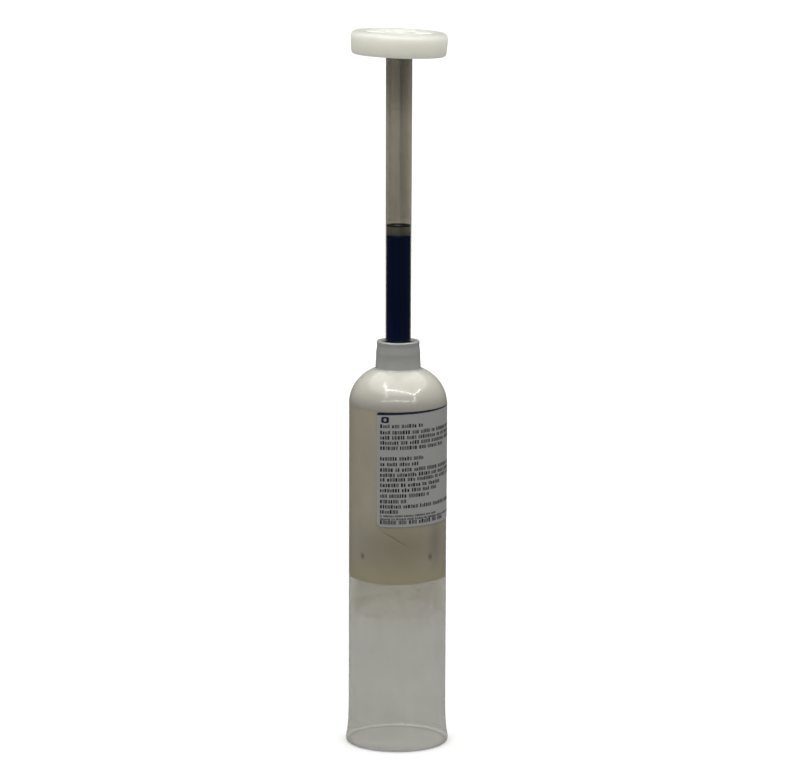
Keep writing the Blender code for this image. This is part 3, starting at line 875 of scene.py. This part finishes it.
def make_handle(material):
    """The disc is drawn from height 0 and then leans as its CAD node does."""
    top = HANDLE_H
    floor = top - 2.0
    shelf = ROD_HIGH - HANDLE_FOOT_Z - 1.5 - GAP - 0.25
    outline = rounded(
        [
            (HANDLE_FLANGE_R, top - 0.4, 0.2),
            (7.9, top - 0.4, 0.2),
            (7.9, floor, 0.4),
            (15.2, floor, 0.5),
            (15.9, top, 0.5),
            (HANDLE_R, top, 4.2),
            (21.2, 0, 1.6),
            (18.2, 0, 0.4),
            (17.8, 7.0, 0.8),
            (9.2, 7.0, 0.8),
            (8.8, 0, 0.4),
            (HANDLE_BORE_R, 0, 0.2),
            (HANDLE_BORE_R, shelf, 0.1),
            (HANDLE_FLANGE_R, shelf, 0.1),
        ]
    )
    handle = lathe("rod_handle_disc", outline, material)
    ribs = [(7.6, 15.5, 1.2, floor - 0.4, top - 0.7, 22.5 + 45 * i) for i in range(8)]
    webs = [(8.2, 18.8, 1.6, 0.8, 7.5, 60 * i + 1.1) for i in range(6)]
    combine(handle, cutter("handle_ribs", ribs + webs), "UNION")
    soften(handle, 0.25, 3)
    apply_modifiers(handle)
    lean = Matrix.Rotation(HANDLE_TILT, 4, "Y")
    shift = (-top / 2 * math.sin(HANDLE_TILT) * MM, 0, HANDLE_FOOT_Z * MM)
    handle.data.transform(Matrix.Translation(shift) @ lean)
    settle(handle, "rod", "white_polyethylene", "rod_handle")


def make_accelerator(material):
    """The paste is drawn out to just under the tube's outer face, as the real tube magnifies it."""
    neck_r = ROD_OUTLET_R - 0.05
    body_r = ROD_TIP_R - PASTE_GAP
    split_z = ROD_LOW + 7.7
    outlet = rounded(
        [
            (0, split_z),
            (body_r, split_z),
            (neck_r, split_z - 1.3, 0.2),
            (neck_r, CHARGE_LOW, 0.2),
            (0, CHARGE_LOW),
        ],
        closed=False,
    )
    plug = lathe("accelerator_outlet", outlet, material, FEW_SEGMENTS)
    settle(plug, "rod", "accelerator_paste")
    top = CHARGE_HIGH
    rings = 12
    column = [(0, top), *rounded([(0, top), (body_r, top, 0.2), (body_r, top - 1)], False)[1:]]
    column += [(body_r, top + (split_z - top) * i / rings) for i in range(1, rings + 1)]
    column.append((0, split_z))
    charge = lathe("accelerator_column", column, material, FEW_SEGMENTS)
    settle(charge, "rod", "accelerator_paste", "accelerator_charge")
    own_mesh(charge)


def make_rod_piston(material, black):
    """The plug and its ring are drawn out like the accelerator, as the tube magnifies them too. The
    ramrod's seat is the hollow in the plug's crown."""
    seat_z = PISTON_HIGH - 2.4
    body_r = ROD_TIP_R - PASTE_GAP
    middle_z = (SEAL_LOW + SEAL_HIGH) / 2
    outline = rounded(
        [
            (0.0, seat_z),
            (2.6, seat_z, 0.3),
            (3.2, middle_z + 0.4, 0.2),
            (4.25, middle_z + 0.4, 0.2),
            (4.5, middle_z + 0.25, 0.1),
            (body_r, middle_z + 0.25, 0.2),
            (body_r, PISTON_LOW, 0.2),
            (0.0, PISTON_LOW),
        ],
        closed=False,
    )
    piston = lathe("rod_piston_plug", outline, material, FEW_SEGMENTS)
    settle(piston, "rod_piston", "plug_plastic", "rod_piston")
    ring = arc((body_r - 0.2, middle_z + 0.1), (0.25, 0.25), 0, -360, 20)[:-1]
    seal = lathe("piston_seal", ring, black, FEW_SEGMENTS)
    settle(seal, "rod_piston", "black_rubber", "piston_seal_ring")


# --- Label ------------------------------------------------------------------------------------

LABEL_START = -24.9  # degrees from the front, towards +X
LABEL_SWEEP = 196.0
LABEL_SKEW = math.radians(1.3)
LABEL_R = BARREL_R + 0.03
LABEL_T = 0.09
PRINT_T = 0.015
PRINT_LIFT = LABEL_T + 0.002
LABEL_W = math.radians(LABEL_SWEEP) * LABEL_R
LABEL_H = LABEL_HIGH - LABEL_LOW
BAND_H = 1.36  # at the label's left end
BAND_TAPER = 0.018
CORNER_R = 2.6
TOP_CORNER_R = 1.3
MARK_MIDDLE = (3.9, LABEL_H - 3.45)
MARK_SIZE = (1.8, 1.4)
MARK_HOLE_R = 0.7
TURNS = [2 * math.pi * i / 24 for i in range(24)]
# Greeked rows from the top of the label: (drop from the row above, block height, length), in
# millimetres.
PRINT_ROWS = [
    (7.2, 1.6, 20.5),
    (2.86, 1.6, 46.0),
    (2.35, 1.6, 52.0),
    (2.35, 1.6, 49.0),
    (2.35, 1.6, 33.5),
    (4.9, 1.6, 22.0),
    (2.56, 1.6, 18.0),
    (2.56, 1.6, 50.0),
    (2.35, 1.6, 55.0),
    (2.12, 1.6, 47.0),
    (2.56, 1.6, 31.0),
    (2.35, 1.6, 28.0),
    (2.56, 1.6, 24.0),
    (2.56, 1.6, 12.3),
    (2.35, 1.6, 51.0),
    (2.35, 1.6, 8.6),
    (1.6, 0.85, 28.0),
    (1.42, 0.85, 56.0),
    (1.9, 1.7, 33.5),
]


def on_label(along, up, lift):
    """A point on the wrapped label: along from its left edge, up from its lower edge, lift off the
    barrel."""
    up = up + (along - LABEL_W / 4) * math.tan(LABEL_SKEW)
    turn = math.radians(LABEL_START) + along / LABEL_R
    radius = LABEL_R + lift
    return (radius * math.sin(turn) * MM, -radius * math.cos(turn) * MM, (LABEL_LOW + up) * MM)


def add_patch(bm, corners, base, thickness):
    """A thin closed prism on the label, from a flat outline of (along, up) points."""
    low = [bm.verts.new(on_label(a, u, base)) for a, u in corners]
    high = [bm.verts.new(on_label(a, u, base + thickness)) for a, u in corners]
    bm.faces.new(low[::-1])
    bm.faces.new(high)
    join_rings(bm, low, high)


def add_strip(bm, columns, base, thickness):
    """A thin closed band on the label, from columns (along, low, high)."""
    rings = []
    for along, low, high in columns:
        corners = [(low, base), (high, base), (high, base + thickness), (low, base + thickness)]
        rings.append([bm.verts.new(on_label(along, up, lift)) for up, lift in corners])
    for first, second in zip(rings, rings[1:]):
        join_rings(bm, first, second)
    bm.faces.new(rings[0][::-1])
    bm.faces.new(rings[-1])


def corner_cut(along, radius):
    """How far a rounded corner draws the edge in at a distance from the label's end."""
    inset = max(0.0, radius - along)
    return min(radius - math.sqrt(max(0.0, radius**2 - inset**2)), radius - 0.02)


def make_label(paper, grey_ink, blue_ink):
    """The sheet, its blue band, a plain rounded block with a round hole, and rows of greeked print."""
    bm = bmesh.new()
    columns = []
    edge_steps = 10
    stops = [CORNER_R * (1 - math.cos(math.pi / 2 * i / edge_steps)) for i in range(edge_steps + 1)]
    middle = [CORNER_R + (LABEL_W - 2 * CORNER_R) * i / 90 for i in range(1, 90)]
    for along in stops + middle + [LABEL_W - s for s in reversed(stops)]:
        near = min(along, LABEL_W - along)
        columns.append((along, corner_cut(near, CORNER_R), LABEL_H - corner_cut(near, TOP_CORNER_R)))
    add_strip(bm, columns, 0.0, LABEL_T)
    bmesh.ops.recalc_face_normals(bm, faces=bm.faces)
    sheet = shade(add_object("label_sheet", bm, paper))
    settle(sheet, "cartridge", "label_paper", "barrel_label")

    bm = bmesh.new()
    band = []
    for along, _, high in columns:
        thick = max(0.4, BAND_H - BAND_TAPER * along)
        band.append((along, min(LABEL_H - thick, high - 0.02), high))
    add_strip(bm, band, PRINT_LIFT, PRINT_T)
    along, up = MARK_MIDDLE
    wide, tall = MARK_SIZE
    outer = [(along + wide * lobed(math.cos(a)), up + tall * lobed(math.sin(a))) for a in TURNS]
    inner = [(along + MARK_HOLE_R * math.cos(a), up + MARK_HOLE_R * math.sin(a)) for a in TURNS]
    for i in range(len(TURNS)):
        after = (i + 1) % len(TURNS)
        add_patch(bm, [outer[i], outer[after], inner[after], inner[i]], PRINT_LIFT, PRINT_T)
    bmesh.ops.remove_doubles(bm, verts=bm.verts, dist=1e-7)
    bmesh.ops.recalc_face_normals(bm, faces=bm.faces)
    settle(add_object("label_band", bm, blue_ink), "cartridge", "label_paper")
    make_print(grey_ink)


def lobed(value):
    """Pushes a circle's sine or cosine out towards a rounded square."""
    return math.copysign(abs(value) ** 0.4, value)


def make_print(material):
    """Rows of plain blocks in place of words. No block is a letter."""
    draw = random.Random(7)
    bm = bmesh.new()
    up = LABEL_H
    for drop, height, length in PRINT_ROWS:
        up -= drop
        along = 1.6
        end = along + length
        while along < end:
            for _ in range(draw.randint(2, 8)):
                width = height * draw.uniform(0.45, 0.7)
                tall = height * draw.choice((0.86, 1.0, 1.0, 1.08))
                if along + width < end:
                    add_glyph(bm, along, up, width, tall, draw)
                along += width + height * 0.17
            along += height * 0.5
    bmesh.ops.recalc_face_normals(bm, faces=bm.faces)
    settle(add_object("label_print", bm, material), "cartridge", "label_paper")


def add_glyph(bm, along, up, width, tall, draw):
    """One greeked block: a solid patch, or two strokes with a slit between them."""
    if draw.random() < 0.55:
        split = width * draw.uniform(0.32, 0.5)
        slit = width * 0.2
        spans = [(along, along + split), (along + split + slit, along + width)]
    else:
        spans = [(along, along + width * 0.85)]
    for left, right in spans:
        corners = [(left, up), (right, up), (right, up + tall), (left, up + tall)]
        add_patch(bm, corners, PRINT_LIFT, PRINT_T)


# --- Staging ----------------------------------------------------------------------------------

CAMERA_DISTANCE = 1.600
CAMERA_HEIGHT = 0.4420
CAMERA_PITCH = 9.9
CAMERA_ROLL = 0.2
CAMERA_SIDE = 0.0009
CAMERA_LENS = 161.1
SENSOR_W = 36.0

WORLD_STRENGTH = 0.11
ROOF_STRENGTH = 3.6
ROOF_ANGLE = 100.0
# The floor glows faintly round the foot, between these radii in millimetres.
GLOW_START, GLOW_FULL = 23.5, 26.5
GLOW_FADE, GLOW_END = 60, 250
GLOW = 0.07
TENT_MIDDLE = Vector((0, 0, 0.165))
TENT_R = 1.2
STRIP_W = 0.05
# Bars of the light tent: their ends as (azimuth, elevation) in degrees, and power per metre.
TENT_BARS = [
    ((-100, 70), (-70, 65), 1.6),
    ((-70, 65), (-42, 54), 4.6),
    ((-41, 52), (-30, 28), 1.3),
    ((-40, 54), (14, 54), 4.0),
    ((14, 54), (46, 38), 3.6),
    ((48, 38), (79, 47), 2.8),
    ((46, 37), (42, 18), 1.9),
    ((-45, 17), (45, 17), 1.3),
]


def make_floor():
    bm = bmesh.new()
    bmesh.ops.create_grid(bm, x_segments=2, y_segments=2, size=14.0)
    paint = Paint("studio_floor")
    paint.roughness(0.8)
    grain = paint.noise(6, detail=2)
    paint.colour(paint.mix(grain, (0.93, 0.93, 0.93), (0.95, 0.95, 0.95)))
    away = paint.math("SQRT", paint.plus(paint.times(paint.x, paint.x), paint.times(paint.y, paint.y)))
    lift = paint.times(
        paint.ramp(away, GLOW_START * MM, GLOW_FULL * MM),
        paint.ramp(away, GLOW_FADE * MM, GLOW_END * MM, GLOW, 0.0),
    )
    paint.glow((1.0, 1.0, 1.0), lift)
    floor = add_object("studio_floor", bm, paint.material)
    floor.location.z = -0.0002
    floor.visible_diffuse = False
    floor.visible_glossy = False


def toward(azimuth, elevation):
    """A point of the light tent's frame. Azimuth is in degrees from the front towards +X."""
    turn, rise = math.radians(azimuth), math.radians(elevation)
    flat = TENT_R * math.cos(rise)
    return TENT_MIDDLE + Vector((flat * math.sin(turn), -flat * math.cos(turn), TENT_R * math.sin(rise)))


def add_strip_light(name, start, end, power):
    """A thin light along a bar of the tent's frame, seen only in reflections."""
    start, end = toward(*start), toward(*end)
    data = bpy.data.lights.new(name, "AREA")
    data.shape = "RECTANGLE"
    data.size, data.size_y = (end - start).length, STRIP_W
    data.energy = power * data.size
    lamp = bpy.data.objects.new(name, data)
    bpy.context.scene.collection.objects.link(lamp)
    along = (end - start).normalized()
    middle = (start + end) / 2
    away = (middle - TENT_MIDDLE).normalized()
    away = (away - along * away.dot(along)).normalized()
    side = away.cross(along)
    lamp.matrix_world = Matrix.Translation(middle) @ Matrix((along, side, away)).transposed().to_4x4()
    lamp.visible_diffuse = False
    lamp.visible_transmission = False


def make_light():
    scene = bpy.context.scene
    world = bpy.data.worlds.new("studio")
    world.use_nodes = True
    sky = world.node_tree.nodes["Background"]
    sky.inputs["Color"].default_value = (1.0, 1.0, 1.0, 1.0)
    sky.inputs["Strength"].default_value = WORLD_STRENGTH
    scene.world = world
    top = bpy.data.lights.new("tent_roof", "SUN")
    top.energy = ROOF_STRENGTH
    top.angle = math.radians(ROOF_ANGLE)
    lamp = bpy.data.objects.new("tent_roof", top)
    scene.collection.objects.link(lamp)
    for number, (start, end, power) in enumerate(TENT_BARS):
        add_strip_light(f"tent_bar_{number}", start, end, power)
    scene.view_settings.view_transform = "Standard"
    scene.view_settings.look = "None"


def make_camera():
    data = bpy.data.cameras.new("camera")
    data.lens = CAMERA_LENS
    data.sensor_width = SENSOR_W
    camera = bpy.data.objects.new("camera", data)
    bpy.context.scene.collection.objects.link(camera)
    camera.location = (CAMERA_SIDE, -CAMERA_DISTANCE, CAMERA_HEIGHT)
    tilt = Matrix.Rotation(math.radians(90 - CAMERA_PITCH), 4, "X")
    roll = Matrix.Rotation(math.radians(CAMERA_ROLL), 4, "Z")
    camera.rotation_euler = (tilt @ roll).to_euler()
    bpy.context.scene.camera = camera


natural = barrel_plastic("natural_polyethylene", 0.60, (0.79, 0.76, 0.64), (0.72, 0.69, 0.56))
# The shoulder's copy is painted lighter at its top, as lit from above.
shoulder_natural = barrel_plastic(
    "shoulder_polyethylene", 0.80, (0.64, 0.62, 0.54), (0.60, 0.58, 0.50), crown=(0.86, 0.85, 0.76)
)
thick_natural = barrel_plastic("thick_polyethylene", 0.93, (0.62, 0.63, 0.60), (0.56, 0.57, 0.54))
# A lighter, clearer copy for the rim's lowest faces: painted light in place of light from the floor.
edge_natural = barrel_plastic("edge_polyethylene", 0.35, (0.81, 0.79, 0.74), (0.74, 0.72, 0.68))
milky = white_plastic("white_polyethylene", (0.93, 0.93, 0.87), (0.88, 0.88, 0.81))
# The handle has a painted glow for the light its moulding passes on, and a painted darker top.
glowing = white_plastic(
    "handle_polyethylene", (0.68, 0.68, 0.62), (0.63, 0.63, 0.58), glow=0.26, crown=(0.34, 0.34, 0.32)
)
faint = white_plastic("plunger_polyethylene", (0.92, 0.90, 0.74), (0.86, 0.84, 0.68), alpha=0.12)
smoky = rod_plastic()
navy = accelerator_paste()
grey_rubber = rubber("grey_rubber", (0.20, 0.20, 0.19), (0.13, 0.13, 0.125))
black_rubber = rubber("black_rubber", (0.018, 0.018, 0.017), (0.008, 0.008, 0.008))

inner_wall = inner_film("inner_polyethylene", (0.7, 0.7, 0.65), 0.05)
make_barrel(natural, shoulder_natural, thick_natural, edge_natural, inner_wall)
make_compound(compound_paste())
make_plunger(faint, inner_wall)
make_dasher(milky)
make_valve(grey_rubber)
make_wiper(grey_rubber)
make_rod(smoky, inner_film("rod_bore_film", (0.2, 0.18, 0.13), 0.06), milky)
make_handle(glowing)
make_accelerator(navy)
make_rod_piston(plug_plastic(), black_rubber)
make_label(
    label_paper(),
    ink("print_ink", (0.035, 0.035, 0.038), (0.012, 0.012, 0.014)),
    ink("blue_ink", (0.006, 0.018, 0.06), (0.002, 0.010, 0.040)),
)
make_floor()
make_light()
make_camera()
